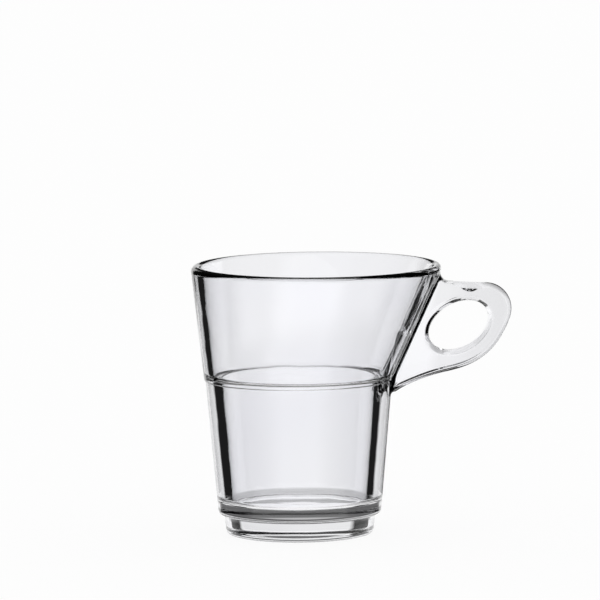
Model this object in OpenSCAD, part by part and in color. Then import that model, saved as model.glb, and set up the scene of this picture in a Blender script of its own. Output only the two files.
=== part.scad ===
// Stackable pressed-glass cup with a ring handle.
// Millimetres, +Z up. The origin is the middle of the foot on the table, and the handle points along +X.

/* [Overall] */
// Height from the table to the top of the rim
total_height = 91; // [88:0.5:96]
// Outer diameter of the mouth
mouth_diameter = 84; // [80:0.5:88]
// How far the mouth's centre leans from the foot's axis toward the handle
mouth_shift = 6.4; // [0:0.2:8]

/* [Bowl] */
// Thickness of the bowl's wall, measured level
bowl_wall = 3.2; // [2.4:0.1:4]
// Radius of the hollow corner where the bowl's wall meets the ledge
bowl_corner = 1.6; // [1:0.1:2.4]

/* [Collar] */
// Height of the collar band between bowl and barrel
collar_height = 1.2; // [0.8:0.1:3]
// How far the collar stands out over the barrel, all round
collar_overhang = 0.45; // [0.2:0.05:0.8]

/* [Barrel] */
// Height of the ledge inside, on which a stacked cup sits
ledge_height = 53.5; // [51:0.5:55]
// Outer diameter of the barrel under the collar
barrel_top_diameter = 62.8; // [62:0.2:64]
// Outer diameter of the barrel just above its lower rounding
barrel_bottom_diameter = 55; // [54.8:0.2:57]
// Radius of the barrel's lower edge
barrel_round = 2; // [1.2:0.1:2]
// Radius of the ledge's inner edge
ledge_round = 0.6; // [0.3:0.1:1]
// Height of the floor inside
floor_height = 11; // [9:0.25:13]
// Inner diameter that the barrel's wall comes down to at the floor
floor_diameter = 45; // [42:0.5:47]
// Radius of the hollow corner round the floor
floor_corner = 1.6; // [1:0.1:4]

/* [Foot] */
// Height of the foot
foot_height = 6.75; // [5.5:0.25:7.5]
// Diameter of the foot where it meets the barrel
foot_diameter = 50.8; // [49.6:0.2:51]
// How much the foot narrows toward the table, on its radius
foot_taper = 0.6; // [0:0.1:1.2]
// Radius of the foot's lower edge
foot_round = 2; // [1:0.1:2.4]
// Diameter of the hollow under the foot
recess_diameter = 41; // [36:0.5:42]
// Depth of the hollow under the foot
recess_depth = 1.2; // [0.8:0.1:3]

/* [Stacking] */
// Gap all round between a foot and the ledge opening that it drops into
stack_clearance = 0.4; // [0.2:0.05:0.8]

/* [Handle] */
// Thickness of the handle across its flat sides
handle_thickness = 10; // [8:0.2:12]
// Distance from the foot's axis to the handle's tip
handle_reach = 71.7; // [70:0.1:75]
// Distance from the rim down to the handle's flat top
handle_drop = 6; // [5:0.25:8]
// How much the handle's top falls toward the tip
top_fall = 0.5; // [0:0.1:1.5]
// Radius of the handle's tip
tip_radius = 8.8; // [7:0.2:10]
// Angle below level at which the tip's round ends
tip_end = 20; // [10:1:30]
// Distance from the ledge down to the lower end of the handle's root
root_drop = 7.5; // [5:0.25:8]
// Distance from the handle's top down to the flat run of its lower edge
low_edge_drop = 30.5; // [29:0.25:31.5]
// Distance from the tip back to the flat run of its lower edge
low_edge_back = 21.9; // [20:0.1:24]
// Slope of that run, falling toward the cup
low_edge_slope = 12; // [6:1:18]
// Radius of the sweep from the handle's sides into the wall
root_fillet = 2; // [1:0.1:2.6]
// How far the handle's edge bulges past its flat sides
edge_crown = 1.5; // [0.8:0.1:2]
// How far the thumb rest bulges past the flat sides at its middle
thumb_crown = 2.7; // [1.6:0.1:3]

/* [Finger hole] */
// Length of the finger hole at its narrowest
hole_length = 21.5; // [19:0.25:23]
// Width of the finger hole at its narrowest
hole_width = 14.5; // [12:0.25:16]
// Slope of the finger hole, rising toward the tip
hole_tilt = 31; // [22:1:40]
// Distance from the handle's tip back to the hole's middle
hole_back = 17.9; // [17:0.1:19]
// Distance from the handle's top down to the hole's middle
hole_down = 14.8; // [14:0.1:15.5]
// How much each side of the hole opens out toward the flat sides
hole_crown = 1.55; // [0.8:0.05:1.9]

/* [Hidden] */
$fn = 96;
corner_steps = 6;
bead_steps = 12;
touch = 0.03;

// Radii and heights of the turned parts
mouth_r = mouth_diameter / 2;
bead_r = bowl_wall / 2;
bead_z = total_height - bead_r;
step_z = ledge_height - collar_height;
barrel_top_r = barrel_top_diameter / 2;
barrel_bottom_r = barrel_bottom_diameter / 2;
barrel_low_z = foot_height + barrel_round;
barrel_slope = (barrel_top_r - barrel_bottom_r) / (step_z - barrel_low_z);
collar_low_r = barrel_top_r + collar_overhang;
collar_top_r = collar_low_r + barrel_slope * collar_height;
foot_top_r = foot_diameter / 2;
foot_low_r = foot_top_r - foot_taper;
ledge_bore_r = foot_top_r + stack_clearance;
floor_r = floor_diameter / 2;
inner_slope = (ledge_bore_r - floor_r) / (ledge_height - floor_height);
bowl_slope = (mouth_r - collar_top_r) / (bead_z - ledge_height);
lean = mouth_shift / (total_height - ledge_height);

// Outer wall that the handle grows from: radius, centre and surface at a height
function wall_r(z) =
    z >= ledge_height ? collar_top_r + bowl_slope * (z - ledge_height)
    : z >= step_z ? collar_low_r + barrel_slope * (z - step_z)
    : barrel_bottom_r + barrel_slope * (z - barrel_low_z);
function wall_cx(z) = lean * max(0, z - ledge_height);
function wall_x(z, y) = wall_cx(z) + sqrt(pow(wall_r(z) + touch, 2) - y * y);

// Points of an arc round c, and of a curve with two control points
function arc(c, r, from, to, steps) =
    [for (i = [0 : steps]) let (a = from + (to - from) * i / steps) c + r * [cos(a), sin(a)]];
function curve(p, q, s, t, steps) =
    [for (i = [1 : steps]) let (k = i / steps, j = 1 - k)
        j * j * j * p + 3 * j * j * k * q + 3 * j * k * k * s + k * k * k * t];

// Bowl: a turned wall with a full-round rim, leaned toward the handle
bowl_inner_r = collar_top_r - bowl_wall;
bowl_lean_angle = atan(bowl_slope);
bowl_corner_x = bowl_inner_r + bowl_slope * bowl_corner
    - bowl_corner / cos(bowl_lean_angle);
bowl_profile = concat(
    [[collar_top_r, ledge_height]],
    arc([mouth_r - bead_r, bead_z], bead_r, 0, 180, bead_steps),
    arc([bowl_corner_x, ledge_height + bowl_corner], bowl_corner,
        -bowl_lean_angle, -90, corner_steps));

module bowl() {
    color([0.86, 0.89, 0.93])
        for (quarter = [0 : 3])
            multmatrix([[1, 0, lean, -lean * ledge_height], [0, 1, 0, 0], [0, 0, 1, 0]])
                rotate([0, 0, 90 * quarter])
                    rotate_extrude(angle = 90)
                        polygon(bowl_profile);
}

// Collar: the band that overhangs the barrel and carries the bowl
lip_r = bowl_corner_x;
collar_profile = [
    [lip_r, step_z],
    [collar_low_r, step_z],
    [collar_top_r, ledge_height],
    [lip_r, ledge_height]];

module collar() {
    color([0.80, 0.85, 0.92])
        rotate_extrude()
            polygon(collar_profile);
}

// Barrel: the narrower lower wall with its floor, and a lip inside the collar whose top is the ledge
inner_lean_angle = atan(inner_slope);
floor_corner_x = floor_r + inner_slope * floor_corner - floor_corner / cos(inner_lean_angle);
barrel_profile = concat(
    [[0, foot_height]],
    arc([barrel_bottom_r - barrel_round, barrel_low_z], barrel_round, -90, 0, corner_steps),
    [[barrel_top_r, step_z]],
    [[lip_r, step_z]],
    [[lip_r, ledge_height]],
    arc([ledge_bore_r + ledge_round, ledge_height - ledge_round], ledge_round,
        90, 180, corner_steps),
    arc([floor_corner_x, floor_height + floor_corner], floor_corner,
        -inner_lean_angle, -90, corner_steps),
    [[0, floor_height]]);

module barrel() {
    color([0.82, 0.86, 0.91])
        rotate_extrude()
            polygon(barrel_profile);
}

// Foot: a low disc that stands on a ring, with a shallow dished hollow under it
recess_r = recess_diameter / 2;
dish_r = (recess_r * recess_r + recess_depth * recess_depth) / (2 * recess_depth);
dish_angle = asin(recess_r / dish_r);
foot_profile = concat(
    arc([0, recess_depth - dish_r], dish_r, 90, 90 - dish_angle, 2 * corner_steps),
    arc([foot_low_r - foot_round, foot_round], foot_round, -90, 0, corner_steps),
    [[foot_top_r, foot_height]],
    [[0, foot_height]]);

module foot() {
    color([0.78, 0.83, 0.89])
        rotate_extrude()
            polygon(foot_profile);
}

// Handle outline in its middle plane, as [x, z]
handle_top = total_height - handle_drop;
half_thick = handle_thickness / 2;
root_half = half_thick + root_fillet;
rim_gap = 2.6;
root_high = total_height - rim_gap;
root_low = ledge_height - root_drop;
root_steps = 14;
fillet_steps = 5;
edge_steps = 8;
tip_steps = 12;
low_steps = 13;
tail_steps = 10;
fillet_run = 3.2;
fillet_start_pull = [0.4, -1.5];
fillet_end_pull = [-1.9, 0];
tip_pull = 13;
low_pull = 10;
tail_pull = 9.5;
tail_end_pull = [1.9, 2.6];
wall_share = 0.3;
tail_share = 0.2;
root_start = [wall_x(root_high, 0), root_high];
fillet_end = [root_start[0] + fillet_run, handle_top];
tip_centre = [handle_reach - tip_radius, handle_top - top_fall - tip_radius];
tip_start = 90 - atan(top_fall / (tip_centre[0] - fillet_end[0]));
top_end = tip_centre + tip_radius * [cos(tip_start), sin(tip_start)];
tip_last = tip_centre + tip_radius * [cos(tip_end), -sin(tip_end)];
tip_way = [-sin(tip_end), -cos(tip_end)];
low_point = [handle_reach - low_edge_back, handle_top - low_edge_drop];
low_way = [-cos(low_edge_slope), -sin(low_edge_slope)];
tail_end = [wall_x(root_low, 0), root_low];

root_line = concat(
    [for (z = [root_low, step_z]) [wall_x(z, 0), z]],
    [for (i = [0 : root_steps])
        let (z = ledge_height + (root_high - ledge_height) * i / root_steps) [wall_x(z, 0), z]]);
fillet_line = curve(root_start, root_start + fillet_start_pull,
    fillet_end + fillet_end_pull, fillet_end, fillet_steps);
top_line = [for (i = [1 : edge_steps]) fillet_end + (top_end - fillet_end) * i / edge_steps];
tip_line = [for (i = [1 : tip_steps])
    let (a = tip_start - (tip_start + tip_end) * i / tip_steps) tip_centre + tip_radius * [cos(a), sin(a)]];
low_line = curve(tip_last, tip_last + tip_pull * tip_way,
    low_point - low_pull * low_way, low_point, low_steps);
tail_line = curve(low_point, low_point + tail_pull * low_way,
    tail_end + tail_end_pull, tail_end, tail_steps);

// Crown of the edge along the outline: none at the wall, most on the thumb rest
fillet_crown = [for (i = [1 : fillet_steps])
    edge_crown * (wall_share + (1 - wall_share) * i / fillet_steps)];
top_crown = [for (i = [1 : edge_steps])
    edge_crown + (thumb_crown - edge_crown) * sin(180 * i / edge_steps)];
tip_crown = [for (i = [1 : tip_steps + low_steps]) edge_crown];
tail_crown = [for (i = [1 : tail_steps]) edge_crown * (1 - (1 - tail_share) * i / tail_steps)];

outline = concat(root_line, fillet_line, top_line, tip_line, low_line,
    [for (i = [0 : tail_steps - 2]) tail_line[i]]);
crown = concat([for (p = root_line) 0], fillet_crown, top_crown, tip_crown, tail_crown);
turns = len(outline);
root_count = len(root_line);

// Finger hole: a tilted ellipse that opens out by grow toward the flat sides
hole_centre = [handle_reach - hole_back, handle_top - hole_down];
function hole_point(a, grow) =
    let (u = (hole_length / 2 + grow) * cos(a), v = (hole_width / 2 + grow) * sin(a))
        hole_centre + [u * cos(hole_tilt) - v * sin(hole_tilt), u * sin(hole_tilt) + v * cos(hole_tilt)];

// Angle on the hole that faces each point of the outline, turning steadily clockwise
function facing(p) =
    let (d = p - hole_centre,
         u = d[0] * cos(hole_tilt) + d[1] * sin(hole_tilt),
         v = d[1] * cos(hole_tilt) - d[0] * sin(hole_tilt))
        atan2(v / hole_width, u / hole_length);
function below(a, limit) = a > limit ? below(a - 360, limit) : a;
facing_lag = 10;
facing_first = facing(outline[0]) - facing_lag;
steady = 0.5;
facing_angle = [for (i = [0 : turns - 1])
    let (even = facing_first - 360 * i / turns,
         direct = even + below(facing(outline[i]) - even + 720, 180))
        steady * even + (1 - steady) * direct];

// Half thickness at a point: flat, then a round sweep into the wall
function half_at(p) =
    let (d = max(0, min(root_fillet, p[0] - wall_x(p[1], root_half))), e = root_fillet - d)
        half_thick + root_fillet - sqrt(max(0, root_fillet * root_fillet - e * e));
function unit(v) = v / norm(v);
function inward(i) =
    let (t = unit(outline[(i + 1) % turns] - outline[(i + turns - 1) % turns])) [t[1], -t[0]];
function at_y(p, y) = [p[0], y, p[1]];

// One section of the handle, from the hole's middle over the front to the edge's middle
hole_parts = [0, 0.4, 0.75, 1];
flat_parts = [0.3, 0.65];
sweep_gaps = [2, 1.1, 0.45, 0.12];
sweep_limit = 1 / 3;
edge_parts = [1, 0.75, 0.4, 0];
function edge_point(i, f) =
    i < root_count ? [wall_x(outline[i][1], root_half * f), outline[i][1]]
    : outline[i] + inward(i) * crown[i] * f * f;
function front_half(i) =
    let (hole_side = hole_point(facing_angle[i], hole_crown),
         edge_side = edge_point(i, 1),
         edge_half = i < root_count ? root_half : half_at(edge_side),
         run = norm(hole_side - edge_side),
         sweep_run = min(sweep_gaps[0], run * sweep_limit),
         way = unit(hole_side - edge_side))
        concat(
            [for (f = hole_parts)
                at_y(hole_point(facing_angle[i], hole_crown * f * f), half_at(hole_side) * f)],
            [for (g = flat_parts)
                let (p = hole_side - way * (run - sweep_run) * g)
                    at_y(p, half_at(p))],
            [for (g = sweep_gaps)
                let (p = edge_side + way * sweep_run * g / sweep_gaps[0])
                    at_y(p, half_at(p))],
            [for (f = edge_parts) at_y(edge_point(i, f), edge_half * f)]);
function section(i) =
    let (front = front_half(i), n = len(front))
        concat(front, [for (k = [n - 2 : -1 : 1]) [front[k][0], -front[k][1], front[k][2]]]);

handle_points = [for (i = [0 : turns - 1]) each section(i)];
around = len(section(0));
handle_faces = [for (i = [0 : turns - 1], k = [0 : around - 1])
    let (a = i * around + k,
         b = i * around + (k + 1) % around,
         c = ((i + 1) % turns) * around + (k + 1) % around,
         d = ((i + 1) % turns) * around + k)
        each [[a, b, c], [a, c, d]]];

module handle() {
    color([0.84, 0.88, 0.92])
        polyhedron(handle_points, handle_faces);
}

bowl();
collar();
barrel();
foot();
handle();
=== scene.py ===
"""Clear pressed-glass cup with a ring handle: one seamless glass body, lit against a white ground."""
import math

import bmesh
import bpy
import numpy as np
from mathutils import Matrix, Vector


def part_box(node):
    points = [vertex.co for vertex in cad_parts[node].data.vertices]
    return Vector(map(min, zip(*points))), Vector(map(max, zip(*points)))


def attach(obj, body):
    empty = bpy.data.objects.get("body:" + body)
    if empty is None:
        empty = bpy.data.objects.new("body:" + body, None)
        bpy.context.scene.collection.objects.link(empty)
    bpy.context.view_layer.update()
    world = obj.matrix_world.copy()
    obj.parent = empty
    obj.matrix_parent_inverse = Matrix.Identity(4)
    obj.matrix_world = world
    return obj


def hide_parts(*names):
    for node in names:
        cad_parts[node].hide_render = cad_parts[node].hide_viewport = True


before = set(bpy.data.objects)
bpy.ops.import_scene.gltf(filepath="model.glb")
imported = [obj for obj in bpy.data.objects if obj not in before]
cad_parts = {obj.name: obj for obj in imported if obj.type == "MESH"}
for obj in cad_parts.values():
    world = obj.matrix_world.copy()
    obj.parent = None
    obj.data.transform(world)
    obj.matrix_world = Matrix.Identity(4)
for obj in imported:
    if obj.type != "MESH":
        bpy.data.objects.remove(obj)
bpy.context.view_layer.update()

MM = 0.001


def node_box(name):
    """Lowest and highest corner of a CAD node, in millimetres."""
    low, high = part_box(name)
    return low / MM, high / MM


# Sizes in millimetres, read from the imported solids
bowl_low, bowl_high = node_box("bowl")
collar_low, collar_high = node_box("collar")
barrel_high = node_box("barrel")[1]
foot_high = node_box("foot")[1]
handle_high = node_box("handle")[1]
TOTAL_HEIGHT = bowl_high.z
MOUTH_R = bowl_high.y
LEDGE_Z = bowl_low.z
STEP_Z = collar_low.z
COLLAR_TOP_R = collar_high.y
BARREL_TOP_R = barrel_high.y
FOOT_TOP_Z = foot_high.z
FOOT_TOP_R = foot_high.y
HANDLE_REACH = handle_high.x

# Finer sizes in millimetres: those of the solids, with rounds and eases set to the look of the photo
BOWL_WALL = 3.2
BOWL_CORNER = 2.2
COLLAR_OVERHANG = 0.45
COLLAR_EASE = 0.2
COLLAR_EDGE_ROUND = 0.25
BOWL_FOOT_ROUND = 1.5
KINK_EASE = 0.5
BARREL_BOTTOM_R = 27.5
BARREL_ROUND = 1.7
LEDGE_BORE_R = 25.8
LEDGE_ROUND = 0.6
FLOOR_Z = 11.0
FLOOR_R = 22.5
FLOOR_CORNER = 2.4
FOOT_TAPER = 0.6
FOOT_ROUND = 2.0
FOOT_NECK_ROUND = 0.15
RECESS_R = 20.5
RECESS_DEPTH = 1.2
RECESS_ROUND = 0.5

# Handle sizes in millimetres
HALF_THICK = 5.0
ROOT_FILLET = 2.0
HANDLE_TOP = TOTAL_HEIGHT - 6.0
TOP_FALL = 0.5
TIP_R = 8.8
TIP_END = math.radians(20)
ROOT_HIGH = TOTAL_HEIGHT - 2.7
ROOT_LOW = LEDGE_Z - 7.3
SIDE_HIGH = TOTAL_HEIGHT - 5.6
SIDE_LOW = LEDGE_Z - 4.4
LOW_EDGE_DROP = 30.5
LOW_EDGE_BACK = 21.9
LOW_EDGE_SLOPE = math.radians(12)
EDGE_CROWN = 1.5
THUMB_CROWN = 2.7
THUMB_END_CROWN = 0.3
CORNER_REACH = 0.55
HOLE_LENGTH = 21.5
HOLE_WIDTH = 14.5
HOLE_TILT = math.radians(31)
HOLE_BACK = 17.9
HOLE_DOWN = 14.8
HOLE_CROWN = 1.55

# How far the handle's curves reach and pull away from their ends, in millimetres
FILLET_REACH = 3.2
FILLET_START_PULL = [0.0, -1.4]
FILLET_END_PULL = [1.9, 0]
TIP_PULL = 13
LOW_EDGE_PULL = 10
TAIL_START_PULL = 9.5
TAIL_END_PULL = [1.9, 2.6]
SIDE_FILLET_START_PULL = [1.2, -0.3]
SIDE_FILLET_END_PULL = [1.6, -0.1]
SIDE_TAIL_START_PULL = 8.0
SIDE_TAIL_END_PULL = [2.6, 1.0]

# Counts of the mesh
COLUMNS = 192
WINDOW_COLUMNS = 9
STRIP_ROWS = 3
RIM_STEPS = 16
DISH_STEPS = 10
BARREL_STEPS = 9
ROWS_BELOW_STEP = 7
ROWS_AT_STEP = 7
ROWS_AT_KINK = 5
ROWS_ABOVE_KINK = 28
FILLET_STEPS = 12
TOP_STEPS = 24
TIP_STEPS = 30
LOW_STEPS = 32
TAIL_STEPS = 26

# Where rows of the mesh lie, in millimetres
BARREL_ROWS_LOW = 14.0
LONGEST_ROW = 5.0
STEP_SUPPORT = 0.05
STEP_SPREAD = 0.45
KINK_BELOW = 0.4
KINK_ABOVE = 1.4
GAP_BELOW_STEP = 0.6
GAP_ABOVE_KINK = 1.0
WINDOW_MARGIN = 2.0
RIM_MARGIN = 0.05
TIE_BELOW_STEP = 0.5
TIE_BELOW_TOP = 6.0

# Share of even spacing among the rows of the root's sides
EVEN_SHARE = 0.4
# Share of the hollow's arc before its rounded rim
DISH_SHARE = 0.95
# Turn between the hole's first row and the corner that it faces
HOLE_LEAD = math.radians(10)
# A radius in millimetres that counts as none
TINY = 1e-6

# Reach of the smoothing round the ends of the handle's root, in millimetres
FAIR_HIGH = 2.8
FAIR_LOW = 1.9


def unit(v):
    """The vector at a length of one."""
    return v / np.linalg.norm(v)


def arc_points(centre, radius, start, end, steps):
    """Points of an arc, angles in radians."""
    angles = np.linspace(start, end, steps + 1)
    return [centre + radius * np.array([math.cos(a), math.sin(a)]) for a in angles]


def bezier(p, q, s, t, steps):
    """Points of a cubic curve after its start."""
    k = np.linspace(0, 1, steps + 1)[1:, None]
    return list((1 - k) ** 3 * p + 3 * (1 - k) ** 2 * k * q + 3 * (1 - k) * k ** 2 * s + k ** 3 * t)


def rounded(corners, steps=7, support=0.3):
    """A path of (r, z, radius) corners with tangent arcs, and a row beside each arc where there is room."""
    places = [np.array(c[:2], float) for c in corners]
    ways = [unit(q - p) for p, q in zip(places, places[1:])]
    turns = [0.0] + [math.acos(np.clip(a @ b, -1, 1)) for a, b in zip(ways, ways[1:])] + [0.0]
    runs = [c[2] * math.tan(turn / 2) for c, turn in zip(corners, turns)]
    straights = [np.linalg.norm(q - p) - run - next_run
                 for p, q, run, next_run in zip(places, places[1:], runs, runs[1:])]
    path = [places[0]]
    for i in range(1, len(corners) - 1):
        back, on, turn = -ways[i - 1], ways[i], turns[i]
        centre = places[i] + unit(back + on) * corners[i][2] / math.cos(turn / 2)
        first = places[i] + back * runs[i] - centre
        last = places[i] + on * runs[i] - centre
        if straights[i - 1] > 2 * support:
            path.append(centre + first + back * support)
        for k in np.linspace(0, 1, steps + 1):
            blend = first * math.sin((1 - k) * turn) + last * math.sin(k * turn)
            path.append(centre + blend / math.sin(turn))
        if straights[i] > 2 * support:
            path.append(centre + last + on * support)
    path.append(places[-1])
    return path


# Rim: a full-round bead, tangent to both faces of the wall
BEAD_R = BOWL_WALL / 2
BEAD = np.array([MOUTH_R - BEAD_R, TOTAL_HEIGHT - BEAD_R])
wall_foot = np.array([COLLAR_TOP_R, LEDGE_Z])
to_bead = BEAD - wall_foot
WALL_ANGLE = math.atan2(to_bead[1], to_bead[0]) - math.asin(BEAD_R / np.linalg.norm(to_bead))
WALL_SLOPE = 1 / math.tan(WALL_ANGLE)
BEAD_START = WALL_ANGLE - math.pi / 2
BEAD_POINTS = arc_points(BEAD, BEAD_R, BEAD_START, BEAD_START + math.pi, RIM_STEPS)
LEAN = (bowl_low.x + bowl_high.x) / 2 / (BEAD[1] - LEDGE_Z)
barrel_low_z = FOOT_TOP_Z + BARREL_ROUND
BARREL_SLOPE = (BARREL_TOP_R - BARREL_BOTTOM_R) / (STEP_Z - barrel_low_z)

# Outer wall from the shoulder to the rim, as a dense path
outer_path = np.array(rounded([
    (BARREL_BOTTOM_R, barrel_low_z, 0),
    (BARREL_TOP_R - BARREL_SLOPE * COLLAR_EASE, STEP_Z - COLLAR_EASE, COLLAR_EDGE_ROUND),
    (BARREL_TOP_R + COLLAR_OVERHANG, STEP_Z + COLLAR_EASE, COLLAR_EDGE_ROUND),
    (COLLAR_TOP_R, LEDGE_Z, BOWL_FOOT_ROUND),
    (*BEAD_POINTS[0], 0)], support=STEP_SUPPORT))


def wall_r(z):
    """Radius of the outer wall at a height."""
    return float(np.interp(z, outer_path[:, 1], outer_path[:, 0]))


def wall_cx(z):
    """How far the cup's centre leans at a height, eased where the bowl begins."""
    rise = z - LEDGE_Z
    if abs(rise) < KINK_EASE:
        return LEAN * (rise + KINK_EASE) ** 2 / (4 * KINK_EASE)
    return LEAN * max(0.0, rise)


def wall_point(angle, z):
    """A point of the outer wall, without the handle."""
    return np.array([wall_cx(z) + wall_r(z) * math.cos(angle), wall_r(z) * math.sin(angle), z])


# Rows of the wall beside the handle, close together at the step, and rows of the root's sides
rows_at_step = STEP_Z + np.linspace(-STEP_SPREAD, STEP_SPREAD, ROWS_AT_STEP)
rows_at_kink = LEDGE_Z + np.linspace(-KINK_BELOW, KINK_ABOVE, ROWS_AT_KINK)
WINDOW_LOW = ROOT_LOW - WINDOW_MARGIN
WINDOW_HIGH = BEAD_POINTS[0][1] - RIM_MARGIN
WINDOW_Z = np.concatenate([
    np.linspace(WINDOW_LOW, rows_at_step[0] - GAP_BELOW_STEP, ROWS_BELOW_STEP), rows_at_step, rows_at_kink,
    np.linspace(rows_at_kink[-1] + GAP_ABOVE_KINK, WINDOW_HIGH, ROWS_ABOVE_KINK)])
step_row = int(np.argmin(abs(WINDOW_Z - STEP_Z)))
last_row = len(WINDOW_Z) - 1
tie_low = STEP_Z - TIE_BELOW_STEP
tie_high = SIDE_HIGH - TIE_BELOW_TOP
facing_z = np.interp(WINDOW_Z, [WINDOW_LOW, tie_low, tie_high, WINDOW_HIGH],
                     [SIDE_LOW, tie_low, tie_high, SIDE_HIGH])
even_z = np.interp(np.arange(len(WINDOW_Z)), [0, step_row, last_row], [SIDE_LOW, STEP_Z, SIDE_HIGH])
SIDE_Z = EVEN_SHARE * even_z + (1 - EVEN_SHARE) * facing_z


def root_r(z):
    """Radius of the wall under the handle's root, where the step is filled in."""
    if z < LEDGE_Z:
        return float(np.interp(z, [ROOT_LOW, LEDGE_Z], [wall_r(ROOT_LOW), COLLAR_TOP_R]))
    return wall_r(z)


def root_point(angle, z):
    """A point of the wall under the handle's root."""
    return np.array([wall_cx(z) + root_r(z) * math.cos(angle), root_r(z) * math.sin(angle), z])


# Rows of the turned body from the middle of its underside, round the rim, to the middle of its floor
dish_r = (RECESS_R ** 2 + RECESS_DEPTH ** 2) / (2 * RECESS_DEPTH)
dish_angle = math.asin(RECESS_R / dish_r)
dish_end = math.pi / 2 - dish_angle * DISH_SHARE
dish = arc_points(np.array([0, RECESS_DEPTH - dish_r]), dish_r, math.pi / 2, dish_end, DISH_STEPS)
low_path = rounded([
    (*dish[-1], 0),
    (RECESS_R, 0, RECESS_ROUND),
    (FOOT_TOP_R - FOOT_TAPER, 0, FOOT_ROUND),
    (FOOT_TOP_R, FOOT_TOP_Z, FOOT_NECK_ROUND),
    (BARREL_BOTTOM_R - BARREL_SLOPE * BARREL_ROUND, FOOT_TOP_Z, BARREL_ROUND),
    (wall_r(BARREL_ROWS_LOW), BARREL_ROWS_LOW, 0)])
barrel_z = np.linspace(BARREL_ROWS_LOW, WINDOW_LOW, BARREL_STEPS)[1:-1]
barrel_rows = [np.array([wall_r(z), z]) for z in barrel_z]
window_rows = [np.array([wall_r(z), z]) for z in WINDOW_Z]
inner_foot_r = BEAD_POINTS[-1][0] - WALL_SLOPE * (BEAD_POINTS[-1][1] - LEDGE_Z)
inner_path = rounded([
    (*BEAD_POINTS[-1], 0),
    (inner_foot_r, LEDGE_Z, BOWL_CORNER),
    (LEDGE_BORE_R, LEDGE_Z, LEDGE_ROUND),
    (FLOOR_R, FLOOR_Z, FLOOR_CORNER),
    (0, FLOOR_Z, 0)])


def with_rows_between(path, longest):
    """The path with long straight stretches cut into rows."""
    rows = [path[0]]
    for p in path[1:]:
        parts = max(1, math.ceil(np.linalg.norm(p - rows[-1]) / longest))
        start = rows[-1]
        rows += [start + (p - start) * k / parts for k in range(1, parts + 1)]
    return rows


inside_rows = with_rows_between(inner_path[1:], LONGEST_ROW)
BODY_ROWS = dish[:-1] + low_path + barrel_rows + window_rows + BEAD_POINTS + inside_rows
WINDOW_FIRST = len(dish) - 1 + len(low_path) + len(barrel_rows)
WINDOW_LAST = WINDOW_FIRST + len(window_rows) - 1

# Handle outline in its middle plane, as [x, z], clockwise from the lower end of the root
root_start = root_point(0, ROOT_HIGH)[[0, 2]]
tail_end = root_point(0, ROOT_LOW)[[0, 2]]
tip_centre = np.array([HANDLE_REACH - TIP_R, HANDLE_TOP - TOP_FALL - TIP_R])
fillet_end = np.array([root_start[0] + FILLET_REACH, HANDLE_TOP])
tip_start = math.pi / 2 - math.atan(TOP_FALL / (tip_centre[0] - fillet_end[0]))
tip_line = arc_points(tip_centre, TIP_R, tip_start, -TIP_END, TIP_STEPS)
tip_way = np.array([-math.sin(TIP_END), -math.cos(TIP_END)])
low_point = np.array([HANDLE_REACH - LOW_EDGE_BACK, HANDLE_TOP - LOW_EDGE_DROP])
low_way = np.array([-math.cos(LOW_EDGE_SLOPE), -math.sin(LOW_EDGE_SLOPE)])
fillet_line = bezier(root_start, root_start + FILLET_START_PULL, fillet_end - FILLET_END_PULL,
                     fillet_end, FILLET_STEPS)
top_line = [fillet_end + (tip_line[0] - fillet_end) * k for k in np.linspace(0, 1, TOP_STEPS + 1)[1:]]
low_line = bezier(tip_line[-1], tip_line[-1] + TIP_PULL * tip_way, low_point - LOW_EDGE_PULL * low_way,
                  low_point, LOW_STEPS)
tail_line = bezier(low_point, low_point + TAIL_START_PULL * low_way, tail_end + TAIL_END_PULL,
                   tail_end, TAIL_STEPS)[:-1]
root_line = [root_point(0, z)[[0, 2]] for z in SIDE_Z]
OUTLINE = np.array(root_line + fillet_line + top_line + tip_line[1:] + low_line + tail_line)
ROOTS = len(root_line)
SECTIONS = len(OUTLINE)


def root_angle(z):
    """Angle on the wall at which the handle's side sweep ends."""
    return math.asin((HALF_THICK + ROOT_FILLET) / (root_r(z) + ROOT_FILLET))


def corner_line():
    """Where the flat sides end, as [x, z]: the root's sides, then the outline less the edge's crown."""
    along = np.roll(OUTLINE, -1, 0) - np.roll(OUTLINE, 1, 0)
    inward = np.array([along[:, 1], -along[:, 0]]).T / np.linalg.norm(along, axis=1)[:, None]
    bulge = np.linspace(0, 1, len(top_line))
    top = THUMB_END_CROWN + (EDGE_CROWN - THUMB_END_CROWN) * bulge
    top += (THUMB_CROWN - (EDGE_CROWN + THUMB_END_CROWN) / 2) * np.sin(math.pi * bulge)
    free = ROOTS + len(fillet_line)
    crown = np.concatenate([np.zeros(free), top, np.full(SECTIONS - free - len(top), EDGE_CROWN)])
    line = OUTLINE + inward * crown[:, None]
    touches = [root_point(root_angle(z), z)[[0, 2]] for z in SIDE_Z]
    line[:ROOTS] = touches
    first, last = line[free], line[-len(tail_line) - 1]
    line[ROOTS:free] = bezier(touches[-1], touches[-1] + SIDE_FILLET_START_PULL,
                              first - SIDE_FILLET_END_PULL, first, len(fillet_line) + 1)[:-1]
    line[-len(tail_line):] = bezier(last, last + SIDE_TAIL_START_PULL * low_way,
                                    touches[0] + SIDE_TAIL_END_PULL, touches[0], len(tail_line) + 1)[:-1]
    return line


CORNERS = corner_line()
hole_centre = np.array([HANDLE_REACH - HOLE_BACK, HANDLE_TOP - HOLE_DOWN])
long_way = np.array([math.cos(HOLE_TILT), math.sin(HOLE_TILT)])
short_way = np.array([-math.sin(HOLE_TILT), math.cos(HOLE_TILT)])


def hole_point(angle, grow):
    """A point of the finger hole, opened out by grow."""
    return (hole_centre + long_way * (HOLE_LENGTH / 2 + grow) * math.cos(angle)
            + short_way * (HOLE_WIDTH / 2 + grow) * math.sin(angle))


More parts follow.
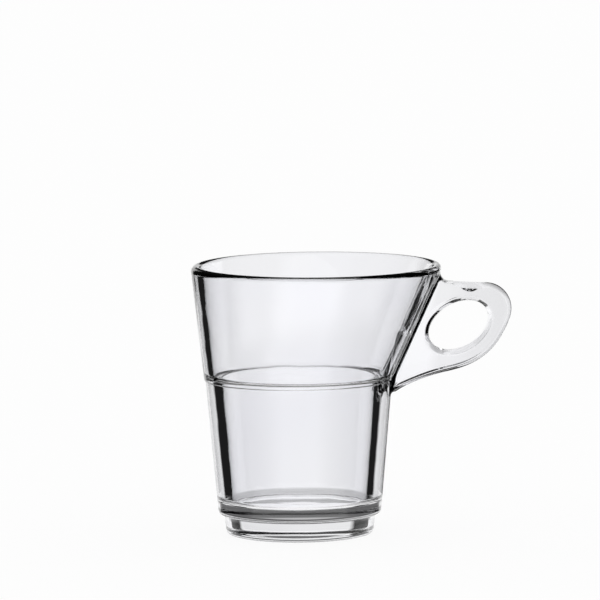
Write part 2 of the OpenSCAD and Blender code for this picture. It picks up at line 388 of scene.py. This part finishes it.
def hole_angles():
    """The angle on the hole that each corner point faces: half by length, half by direction."""
    steps = np.linalg.norm(np.roll(CORNERS, -1, 0) - CORNERS, axis=1)
    share = np.concatenate([[0], np.cumsum(steps)[:-1]]) / steps.sum()
    away = CORNERS - hole_centre
    facing = np.arctan2(away @ short_way / HOLE_WIDTH, away @ long_way / HOLE_LENGTH)
    even = facing[0] - HOLE_LEAD - 2 * math.pi * share
    direct = even + (facing - even + math.pi) % (2 * math.pi) - math.pi
    return (even + direct) / 2


HOLE_ANGLE = hole_angles()


def half_at(p):
    """Half thickness of the handle at a point [x, z]: flat, then a round sweep into the wall."""
    r = root_r(p[1])
    side = HALF_THICK + ROOT_FILLET
    sweep_x = wall_cx(p[1]) + math.sqrt((r + ROOT_FILLET) ** 2 - side ** 2)
    deep = min(max(0.0, sweep_x - p[0]), ROOT_FILLET * math.cos(root_angle(p[1])))
    return side - math.sqrt(ROOT_FILLET ** 2 - deep ** 2)


# One section of the handle runs from the hole's middle, over one side, to the edge's middle
HOLE_PARTS = np.linspace(0, 1, 7)
BEND_PARTS = np.linspace(0, 1, 6)
FLAT_PARTS = np.linspace(0, 1, 6)[1:]
SWEEP_STEPS = 7
ACROSS_STEPS = WINDOW_COLUMNS


def bend(p, corner, q, parts):
    """Points of a round corner between p and q."""
    return [(1 - k) ** 2 * p + 2 * (1 - k) * k * corner + k ** 2 * q for k in parts]


def lifted(p, y):
    """A point [x, z] of the middle plane, moved to a y."""
    return np.array([p[0], y, p[1]])


def hole_side(i):
    """From the hole's middle round a corner to the flat side. Returns the points and the last [x, z]."""
    angle = HOLE_ANGLE[i]
    half = half_at(hole_point(angle, HOLE_CROWN))
    turn = 1 - CORNER_REACH / half
    points = [lifted(hole_point(angle, HOLE_CROWN * (f * turn) ** 2), half * f * turn) for f in HOLE_PARTS]
    corner = lifted(hole_point(angle, HOLE_CROWN), half)
    flat = hole_point(angle, HOLE_CROWN + CORNER_REACH)
    points += bend(points[-1], corner, lifted(flat, half_at(flat)), BEND_PARTS[1:])
    return points, flat


def root_side(i, start):
    """From the flat side into the wall, then across it to the middle plane, as the root's two ends need."""
    edge = CORNERS[i]
    z = edge[1]
    angle = root_angle(z)
    way = unit(start - edge)
    reach = ROOT_FILLET * math.cos(angle) / way[0]
    begin = edge + way * reach
    points = [start + (begin - start) * g for g in FLAT_PARTS]
    points = [lifted(p, half_at(p)) for p in points]
    last = math.pi / 2 - angle
    for k in range(1, SWEEP_STEPS):
        p = edge + way * reach * (1 - math.sin(last * k / SWEEP_STEPS) / math.sin(last))
        points.append(lifted(p, half_at(p)))
    return points + [root_edge(i, k) for k in range(ACROSS_STEPS, -1, -1)]


def root_edge(i, column):
    """A point of the root's edge on the wall: its side, or at its ends a curve bulging along the wall."""
    f = column / ACROSS_STEPS
    end = ROOT_HIGH if 2 * i > ROOTS else ROOT_LOW
    z = end + (SIDE_Z[i] - end) * f * f
    return root_point(root_angle(z) * f, z)


def free_side(i, start):
    """From the flat side over a rounded corner and across the crowned edge to its middle."""
    corner, middle = CORNERS[i], OUTLINE[i]
    half = half_at(corner)
    way = unit(start - corner)
    turn = 1 - CORNER_REACH / half
    flat = corner + way * CORNER_REACH
    begin = corner + way * CORNER_REACH * 2
    points = [start + (begin - start) * g for g in FLAT_PARTS] + [flat]
    points = [lifted(p, half_at(p)) for p in points]
    across = [turn * k / ACROSS_STEPS for k in range(ACROSS_STEPS, -1, -1)]
    crown = [lifted(middle + (corner - middle) * f * f, half * f) for f in across]
    points += bend(points[-1], lifted(corner, half), crown[0], np.linspace(0, 1, SWEEP_STEPS)[1:])
    return points + crown[1:]


def section(i):
    """All points of one section: the half at +Y, then its mirror image."""
    points, start = hole_side(i)
    points = points + (root_side(i, start) if i < ROOTS else free_side(i, start))
    mirror = [p * [1, -1, 1] for p in points[-2:0:-1]]
    return points + mirror


def fair(free):
    """Moves the free vertices onto the smoothest surface between their fixed neighbours."""
    column = {v: n for n, v in enumerate(free)}
    rows = list(dict.fromkeys(free + [e.other_vert(v) for v in free for e in v.link_edges]))
    pull = np.zeros((len(rows), len(free)))
    known = np.zeros((len(rows), 3))
    for n, v in enumerate(rows):
        beside = [e.other_vert(v) for e in v.link_edges]
        for other, weight in [(v, 1.0)] + [(o, -1 / len(beside)) for o in beside]:
            if other in column:
                pull[n, column[other]] += weight
            else:
                known[n] -= weight * np.array(other.co)
    for v, place in zip(free, np.linalg.lstsq(pull, known, rcond=None)[0]):
        v.co = place


def root_ends(made):
    """The handle's and strip's vertices near the upper and the lower end of the root."""
    near = []
    for i, reach in ((ROOTS - 1, FAIR_HIGH), (0, FAIR_LOW)):
        edge = np.array([root_edge(i, k) for k in range(ACROSS_STEPS + 1)])
        for key, v in made.items():
            place = np.abs(np.array(v.co)) / MM
            if key[0] != "body" and np.linalg.norm(edge - place, axis=1).min() < reach:
                near.append(v)
    return near


def build_cup():
    """The whole cup as one closed mesh: turned body, handle, and a strip of wall that joins them."""
    mesh = bmesh.new()
    made = {}

    def vertex(key, place):
        """The vertex of a key, made at its first use."""
        if key not in made:
            made[key] = mesh.verts.new(Vector(place) * MM)
        return made[key]

    def body_vertex(row, column):
        """A vertex of the turned body, which leans from the ledge up."""
        r, z = BODY_ROWS[row]
        if r < TINY:
            return vertex(("body", row), (0, 0, z))
        column %= COLUMNS
        angle = 2 * math.pi * column / COLUMNS
        lean = wall_cx(z)
        return vertex(("body", row, column), (lean + r * math.cos(angle), r * math.sin(angle), z))

    for row in range(len(BODY_ROWS) - 1):
        beside_handle = WINDOW_FIRST <= row < WINDOW_LAST
        for column in range(-WINDOW_COLUMNS, COLUMNS - WINDOW_COLUMNS):
            if beside_handle and column < WINDOW_COLUMNS:
                continue
            ring = [body_vertex(row, column), body_vertex(row, column + 1),
                    body_vertex(row + 1, column + 1), body_vertex(row + 1, column)]
            mesh.faces.new(list(dict.fromkeys(ring)))

    rings = [section(i) for i in range(SECTIONS)]
    around = len(rings[0])
    middle = around // 2
    touch = middle - ACROSS_STEPS

    def handle_vertex(i, k):
        """A vertex of the handle: a section, and a place round it."""
        i %= SECTIONS
        k %= around
        return vertex(("handle", i, k), rings[i][k])

    for i in range(SECTIONS):
        for k in range(around):
            if i < ROOTS - 1 and touch <= k < middle + ACROSS_STEPS:
                continue
            mesh.faces.new([handle_vertex(i, k), handle_vertex(i, k + 1),
                            handle_vertex(i + 1, k + 1), handle_vertex(i + 1, k)])

    def loop(rows, wide):
        """Places (row, column step) round a rectangle, from its lower corner at +Y."""
        return ([(0, c) for c in range(wide, -wide, -1)] + [(r, -wide) for r in range(rows)]
                + [(rows, c) for c in range(-wide, wide)] + [(r, wide) for r in range(rows, 0, -1)])

    path = loop(ROOTS - 1, WINDOW_COLUMNS)

    def strip_vertex(place, row):
        """A vertex of the strip, from the body's window (row 0) to the edge of the handle's root."""
        at, column = place
        if row == 0:
            return body_vertex(WINDOW_FIRST + at, column)
        if row == STRIP_ROWS:
            return handle_vertex(at, middle - column)
        share = row / STRIP_ROWS
        root = root_edge(at, abs(column))
        root_turn = math.copysign(math.atan2(root[1], root[0] - wall_cx(root[2])), column)
        window_turn = 2 * math.pi * column / COLUMNS
        z = WINDOW_Z[at] + (root[2] - WINDOW_Z[at]) * share
        return vertex(("strip", place, row), wall_point(window_turn + (root_turn - window_turn) * share, z))

    for here, on in zip(path, path[1:] + path[:1]):
        for row in range(STRIP_ROWS):
            mesh.faces.new([strip_vertex(here, row), strip_vertex(on, row),
                            strip_vertex(on, row + 1), strip_vertex(here, row + 1)])

    fair(root_ends(made))
    bmesh.ops.recalc_face_normals(mesh, faces=mesh.faces)
    for face in mesh.faces:
        face.smooth = True
    data = bpy.data.meshes.new("glass_cup")
    mesh.to_mesh(data)
    mesh.free()
    cup = bpy.data.objects.new("glass_cup", data)
    bpy.context.scene.collection.objects.link(cup)
    return cup


# Glass: noise of its tint, dullness and ripple in waves per metre, greatest roughness, ripple in metres
GLASS_IOR = 1.52
TINT_SCALE = 30
TINT_DETAIL = 1
TINT_STOPS = ((0.3, (0.955, 0.957, 0.984, 1)), (0.7, (0.972, 0.974, 0.988, 1)))
DULL_SCALE = 60
DULL_DETAIL = 2
DULL_FROM = 0.55
DULL_TO = 0.8
DULLEST = 0.05
RIPPLE_SCALE = 110
RIPPLE_DETAIL = 1
RIPPLE_DEPTH = 0.00005


def clear_glass():
    """Colourless pressed glass: a hint of lavender, a faint ripple and a few finger-dull patches."""
    material = bpy.data.materials.new("clear_glass")
    material.use_nodes = True
    tree = material.node_tree
    shader = tree.nodes["Principled BSDF"]
    shader.inputs["IOR"].default_value = GLASS_IOR
    shader.inputs["Transmission Weight"].default_value = 1.0
    place = tree.nodes.new("ShaderNodeTexCoord")

    def noise(scale, detail):
        """Noise in the cup's own coordinates."""
        node = tree.nodes.new("ShaderNodeTexNoise")
        node.inputs["Scale"].default_value = scale
        node.inputs["Detail"].default_value = detail
        tree.links.new(place.outputs["Object"], node.inputs["Vector"])
        return node.outputs[0]

    tint = tree.nodes.new("ShaderNodeValToRGB")
    for stop, (position, colour) in zip(tint.color_ramp.elements, TINT_STOPS):
        stop.position = position
        stop.color = colour
    tree.links.new(noise(TINT_SCALE, TINT_DETAIL), tint.inputs["Fac"])
    tree.links.new(tint.outputs["Color"], shader.inputs["Base Color"])
    dull = tree.nodes.new("ShaderNodeMapRange")
    dull.inputs["From Min"].default_value = DULL_FROM
    dull.inputs["From Max"].default_value = DULL_TO
    dull.inputs["To Min"].default_value = 0.0
    dull.inputs["To Max"].default_value = DULLEST
    tree.links.new(noise(DULL_SCALE, DULL_DETAIL), dull.inputs["Value"])
    tree.links.new(dull.outputs["Result"], shader.inputs["Roughness"])
    ripple = tree.nodes.new("ShaderNodeBump")
    ripple.inputs["Distance"].default_value = RIPPLE_DEPTH
    tree.links.new(noise(RIPPLE_SCALE, RIPPLE_DETAIL), ripple.inputs["Height"])
    tree.links.new(ripple.outputs["Normal"], shader.inputs["Normal"])
    return material


# Camera, matched to the photograph: the picture spans VIEW_WIDTH at the cup, lengths in metres
CAMERA_DISTANCE = 2.5
VIEW_WIDTH = 0.2016
VIEW_ELEVATION = math.radians(6.46)
VIEW_ROLL = math.radians(0.5)
AIM = Vector((0.00067, 0, 0.079))
VIEW_BACK = Vector((0, -math.cos(VIEW_ELEVATION), math.sin(VIEW_ELEVATION)))
SENSOR = 36
CLIP_END = 50


def place_camera():
    """A long lens in front of the cup, a little above it."""
    data = bpy.data.cameras.new("camera")
    data.sensor_width = SENSOR
    data.lens = SENSOR * CAMERA_DISTANCE / VIEW_WIDTH
    data.clip_end = CLIP_END
    camera = bpy.data.objects.new("camera", data)
    bpy.context.scene.collection.objects.link(camera)
    turn = (-VIEW_BACK).to_track_quat("-Z", "Y").to_matrix().to_4x4() @ Matrix.Rotation(-VIEW_ROLL, 4, "Z")
    camera.matrix_world = Matrix.Translation(AIM + VIEW_BACK * CAMERA_DISTANCE) @ turn
    bpy.context.scene.camera = camera


# Studio: the world's strength as light, and the floor's size in metres, its tone and its share of glow
FILL_LIGHT = 0.9
FLOOR_SIZE = 20
FLOOR_TONE = 0.9
FLOOR_GLOW = 0.92

# Painted shadow: a grey pool on the floor round the foot, seen only through the glass: radius in metres,
# tone, shares of the radius where it starts, is full and ends
SHADOW_POOL_R = 0.11
SHADOW_POOL_TONE = 0.6
SHADOW_POOL_STOPS = (0.235, 0.27, 0.6, 1.0)
WHITE = (1, 1, 1, 1)


def grey(tone):
    """A grey as a colour."""
    return (tone, tone, tone, 1)


def seen_directly(tree):
    """One for camera, glossy and transmission rays, zero for the rest."""
    path = tree.nodes.new("ShaderNodeLightPath")
    total = path.outputs["Is Camera Ray"]
    for kind in ("Is Glossy Ray", "Is Transmission Ray"):
        add = tree.nodes.new("ShaderNodeMath")
        add.operation = "MAXIMUM"
        tree.links.new(total, add.inputs[0])
        tree.links.new(path.outputs[kind], add.inputs[1])
        total = add.outputs[0]
    return total


def white_world():
    """A white studio: full white where it is seen, softer as light."""
    world = bpy.data.worlds.new("studio")
    world.use_nodes = True
    bpy.context.scene.world = world
    tree = world.node_tree
    background = tree.nodes["Background"]
    background.inputs["Color"].default_value = WHITE
    level = tree.nodes.new("ShaderNodeMapRange")
    level.inputs["To Min"].default_value = FILL_LIGHT
    level.inputs["To Max"].default_value = 1.0
    tree.links.new(seen_directly(tree), level.inputs["Value"])
    tree.links.new(level.outputs["Result"], background.inputs["Strength"])


def painted_shadow_pool(tree):
    """Tone of the table with a painted shadow: white, but grey close round the foot for the rays that come
    out of the glass.
    """
    place = tree.nodes.new("ShaderNodeTexCoord")
    away = tree.nodes.new("ShaderNodeVectorMath")
    away.operation = "LENGTH"
    share = tree.nodes.new("ShaderNodeMapRange")
    share.inputs["From Max"].default_value = SHADOW_POOL_R
    ramp = tree.nodes.new("ShaderNodeValToRGB")
    stops = ramp.color_ramp.elements
    for stop, position in zip(stops, (SHADOW_POOL_STOPS[0], SHADOW_POOL_STOPS[-1])):
        stop.position = position
        stop.color = WHITE
    for position in SHADOW_POOL_STOPS[1:-1]:
        stops.new(position).color = grey(SHADOW_POOL_TONE)
    path = tree.nodes.new("ShaderNodeLightPath")
    mix = tree.nodes.new("ShaderNodeMix")
    mix.data_type = "RGBA"
    mix.inputs["A"].default_value = WHITE
    tree.links.new(place.outputs["Object"], away.inputs[0])
    tree.links.new(away.outputs["Value"], share.inputs["Value"])
    tree.links.new(share.outputs["Result"], ramp.inputs["Fac"])
    tree.links.new(path.outputs["Is Transmission Ray"], mix.inputs["Factor"])
    tree.links.new(ramp.outputs["Color"], mix.inputs["B"])
    return mix.outputs["Result"]


def white_floor():
    """A pale floor that reads as white and still takes a soft shadow."""
    bpy.ops.mesh.primitive_plane_add(size=FLOOR_SIZE, location=(0, 0, 0))
    floor = bpy.context.object
    floor.name = "floor"
    material = bpy.data.materials.new("floor")
    material.use_nodes = True
    tree = material.node_tree
    matte = tree.nodes["Principled BSDF"]
    matte.inputs["Base Color"].default_value = grey(FLOOR_TONE)
    matte.inputs["Roughness"].default_value = 1.0
    matte.inputs["Specular IOR Level"].default_value = 0.0
    glow = tree.nodes.new("ShaderNodeEmission")
    glow.inputs["Strength"].default_value = 1.0
    share = tree.nodes.new("ShaderNodeMath")
    share.operation = "MULTIPLY"
    share.inputs[1].default_value = FLOOR_GLOW
    mix = tree.nodes.new("ShaderNodeMixShader")
    # Painted shadow round the foot, seen only through the glass
    tree.links.new(painted_shadow_pool(tree), glow.inputs["Color"])
    tree.links.new(seen_directly(tree), share.inputs[0])
    tree.links.new(share.outputs[0], mix.inputs["Fac"])
    tree.links.new(matte.outputs[0], mix.inputs[1])
    tree.links.new(glow.outputs[0], mix.inputs[2])
    tree.links.new(mix.outputs[0], tree.nodes["Material Output"].inputs["Surface"])
    floor.data.materials.append(material)


# Kinds of rays: how often the glass mirrored them, how often they passed its surface, how far they came
RAY_TESTS = {
    "mirrored": ("Glossy Depth", "GREATER_THAN", 0.5),
    "mirrored_twice": ("Glossy Depth", "GREATER_THAN", 1.5),
    "outside": ("Transmission Depth", "LESS_THAN", 0.5),
    "solid": ("Transmission Depth", "LESS_THAN", 2.5),
    "near": ("Ray Length", "LESS_THAN", 0.032)}


def path_share(tree, seen_by):
    """One for the rays that pass every test named, zero for the rest."""
    path = tree.nodes.new("ShaderNodeLightPath")
    total = None
    for kind in seen_by.split():
        test = tree.nodes.new("ShaderNodeMath")
        measure, test.operation, test.inputs[1].default_value = RAY_TESTS[kind]
        tree.links.new(path.outputs[measure], test.inputs[0])
        if total:
            both = tree.nodes.new("ShaderNodeMath")
            both.operation = "MULTIPLY"
            tree.links.new(total, both.inputs[0])
            tree.links.new(test.outputs[0], both.inputs[1])
            test = both
        total = test.outputs[0]
    return total


def card(name, rows, level, fades, seen_by, taper=0):
    """A card that only the glass sees, for painted reflections and painted shade: rows of points in
    millimetres, its tone, its cover at each row.

    A taper fades it along that share of each row's half, toward both ends."""
    data = bpy.data.meshes.new(name)
    wide = len(rows[0])
    faces = [(r * wide + k, r * wide + k + 1, (r + 1) * wide + k + 1, (r + 1) * wide + k)
             for r in range(len(rows) - 1) for k in range(wide - 1)]
    data.from_pydata([Vector(p) * MM for row in rows for p in row], [], faces)
    cover = data.attributes.new("cover", "FLOAT", "POINT")
    to_end = 1 - abs(np.linspace(-1, 1, wide))
    along = np.clip(to_end / taper, 0, 1) if taper else np.ones(wide)
    cover.data.foreach_set("value", [fade * share for fade in fades for share in along])
    sheet = bpy.data.objects.new(name, data)
    bpy.context.scene.collection.objects.link(sheet)
    sheet.visible_camera = sheet.visible_diffuse = sheet.visible_shadow = False
    material = bpy.data.materials.new(name)
    material.use_nodes = True
    tree = material.node_tree
    tree.nodes.remove(tree.nodes["Principled BSDF"])
    tone = tree.nodes.new("ShaderNodeEmission")
    tone.inputs["Color"].default_value = grey(level)
    clear = tree.nodes.new("ShaderNodeBsdfTransparent")
    attribute = tree.nodes.new("ShaderNodeAttribute")
    attribute.attribute_name = "cover"
    share = tree.nodes.new("ShaderNodeMath")
    share.operation = "MULTIPLY"
    mix = tree.nodes.new("ShaderNodeMixShader")
    tree.links.new(attribute.outputs["Fac"], share.inputs[0])
    tree.links.new(path_share(tree, seen_by), share.inputs[1])
    tree.links.new(share.outputs[0], mix.inputs["Fac"])
    tree.links.new(clear.outputs[0], mix.inputs[1])
    tree.links.new(tone.outputs[0], mix.inputs[2])
    tree.links.new(mix.outputs[0], tree.nodes["Material Output"].inputs["Surface"])
    data.materials.append(material)


# Cards of painted reflection and painted shade: sizes in millimetres, turns in degrees from straight behind
# the cup, positive toward the handle
ARC_STEP = 6
ABOVE_FLOOR = 0.3
TALL = 300
DARK = 0.012
SOFT_ENDS = (0, 1, 1, 0)


def arc_turns(start, end):
    """Even turns from start to end, no more than ARC_STEP apart."""
    return list(np.linspace(start, end, 2 + int(abs(end - start) / ARC_STEP)))


def round_card(name, radius, top, full, level, seen_by, start=None, end=None):
    """An upright round card, full between two turns, fading out to the start and the end where given."""
    turns = arc_turns(*full)
    fades = [1] * len(turns)
    if start is not None:
        turns = [start] + turns
        fades = [0] + fades
    if end is not None:
        turns = turns + [end]
        fades = fades + [0]
    ways = [(math.sin(math.radians(turn)), math.cos(math.radians(turn))) for turn in turns]
    rows = [[(radius * x, radius * y, ABOVE_FLOOR), (radius * x, radius * y, top)] for x, y in ways]
    card(name, rows, level, fades, seen_by)


def level_rows(radius, heights, start, end):
    """Rows of an upright round card, one at each height."""
    turns = np.radians(arc_turns(start, end))
    return [[(radius * math.sin(a), radius * math.cos(a), z) for a in turns] for z in heights]


def level_sector(radii, z, start, end):
    """Rows of a level part of a ring on the table."""
    turns = np.radians(arc_turns(start, end))
    return [[(r * math.sin(a), r * math.cos(a), z) for a in turns] for r in radii]


def upright_rows(xs, y, low, high):
    """Rows of a flat upright card across the view, one at each x."""
    return [[(x, y, low), (x, y, high)] for x in xs]


def light_scene():
    """White surroundings, and the cards of painted reflection and painted shade that only the glass sees.
    """
    white_world()
    white_floor()
    # Painted dark reflections: dark sides that the glass shows only where it mirrors, as at its edges
    round_card("dark_left", radius=90, top=TALL, full=(-49, -128), level=DARK, seen_by="mirrored",
               start=-44, end=-150)
    round_card("dark_right", radius=90, top=TALL, full=(55, 128), level=DARK, seen_by="mirrored",
               start=49, end=150)
    for name, side in (("low_left", -1), ("low_right", 1)):
        rows = level_sector(radii=(44, 52, 90, 91), z=ABOVE_FLOOR, start=52 * side, end=128 * side)
        card(name, rows, level=DARK, fades=(0, 1, 1, 1), seen_by="mirrored", taper=0.2)
    round_card("dark_behind", radius=91, top=TALL, full=(-60, 60), level=DARK, seen_by="mirrored_twice")
    # Painted dark reflection: a dark card on the right, mirrored in the outer faces alone
    round_card("edge_right", radius=89, top=42, full=(18, 52), level=0.05, seen_by="outside", start=10)
    # Painted reflections, seen in the mirror too: pale and dim cards in front, a glowing one for a painted
    # highlight, and a dark one on the table for a painted contact shadow
    round_card("dim_front", radius=92, top=TALL, full=(150, 210), level=0.6, seen_by="mirrored",
               start=128, end=232)
    rows = level_rows(radius=64, heights=(46, 54, 78, 86), start=115, end=245)
    card("pale_front", rows, level=1, fades=SOFT_ENDS, seen_by="mirrored", taper=0.2)
    # Painted highlight: a card that glows brighter than white, seen only in the mirror and lighting nothing
    rows = level_rows(radius=61, heights=(48, 60, 76, 82), start=148, end=212)
    card("softbox_highlight", rows, level=1.6, fades=SOFT_ENDS, seen_by="mirrored", taper=0.3)
    # Painted contact shadow: a dark patch on the table close round the foot, seen only in the mirror
    rows = level_sector(radii=(25.5, 27, 38, 48), z=0.35, start=180, end=270)
    card("mirrored_contact_shadow", rows, level=0.02, fades=SOFT_ENDS, seen_by="mirrored", taper=0.5)
    # Painted shade: strips behind the solid base and foot, that only the glass shows close by
    rows = [[(-9, 31, z), (9, 31, z)] for z in (3.6, 4.2, 5.2, 5.6, 10, 11)]
    card("card_base", rows, level=0.12, fades=(0, 0.5, 0.5, 1, 1, 0), seen_by="solid near")
    rows = upright_rows(xs=(-6, -8, -60, -70), y=42, low=0.2, high=8.6)
    card("card_foot_left", rows, level=0, fades=SOFT_ENDS, seen_by="solid near")
    rows = upright_rows(xs=(10, 12, 60, 70), y=42, low=0.2, high=8.6)
    card("card_foot_right", rows, level=0, fades=SOFT_ENDS, seen_by="solid near")
    rows = upright_rows(xs=(-30, -29, 29, 30), y=45, low=0.2, high=5)
    card("card_foot", rows, level=0.84, fades=SOFT_ENDS, seen_by="solid near")
    # Painted shade that only the glass shows: a dark card overhead, and a pale grey one behind the handle
    rows = [[(x, -20, 125), (x, 200, 125)] for x in (-80, -60, 140, 160)]
    card("dark_top", rows, level=0.03, fades=SOFT_ENDS, seen_by="solid")
    rows = upright_rows(xs=(44, 48, 92, 96), y=65, low=40, high=110)
    card("card_handle", rows, level=0.88, fades=SOFT_ENDS, seen_by="solid")


bpy.context.scene.view_settings.view_transform = "Standard"
cup = build_cup()
cup.data.materials.append(clear_glass())
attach(cup, "root")
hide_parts("bowl", "collar", "barrel", "foot", "handle")
place_camera()
light_scene()
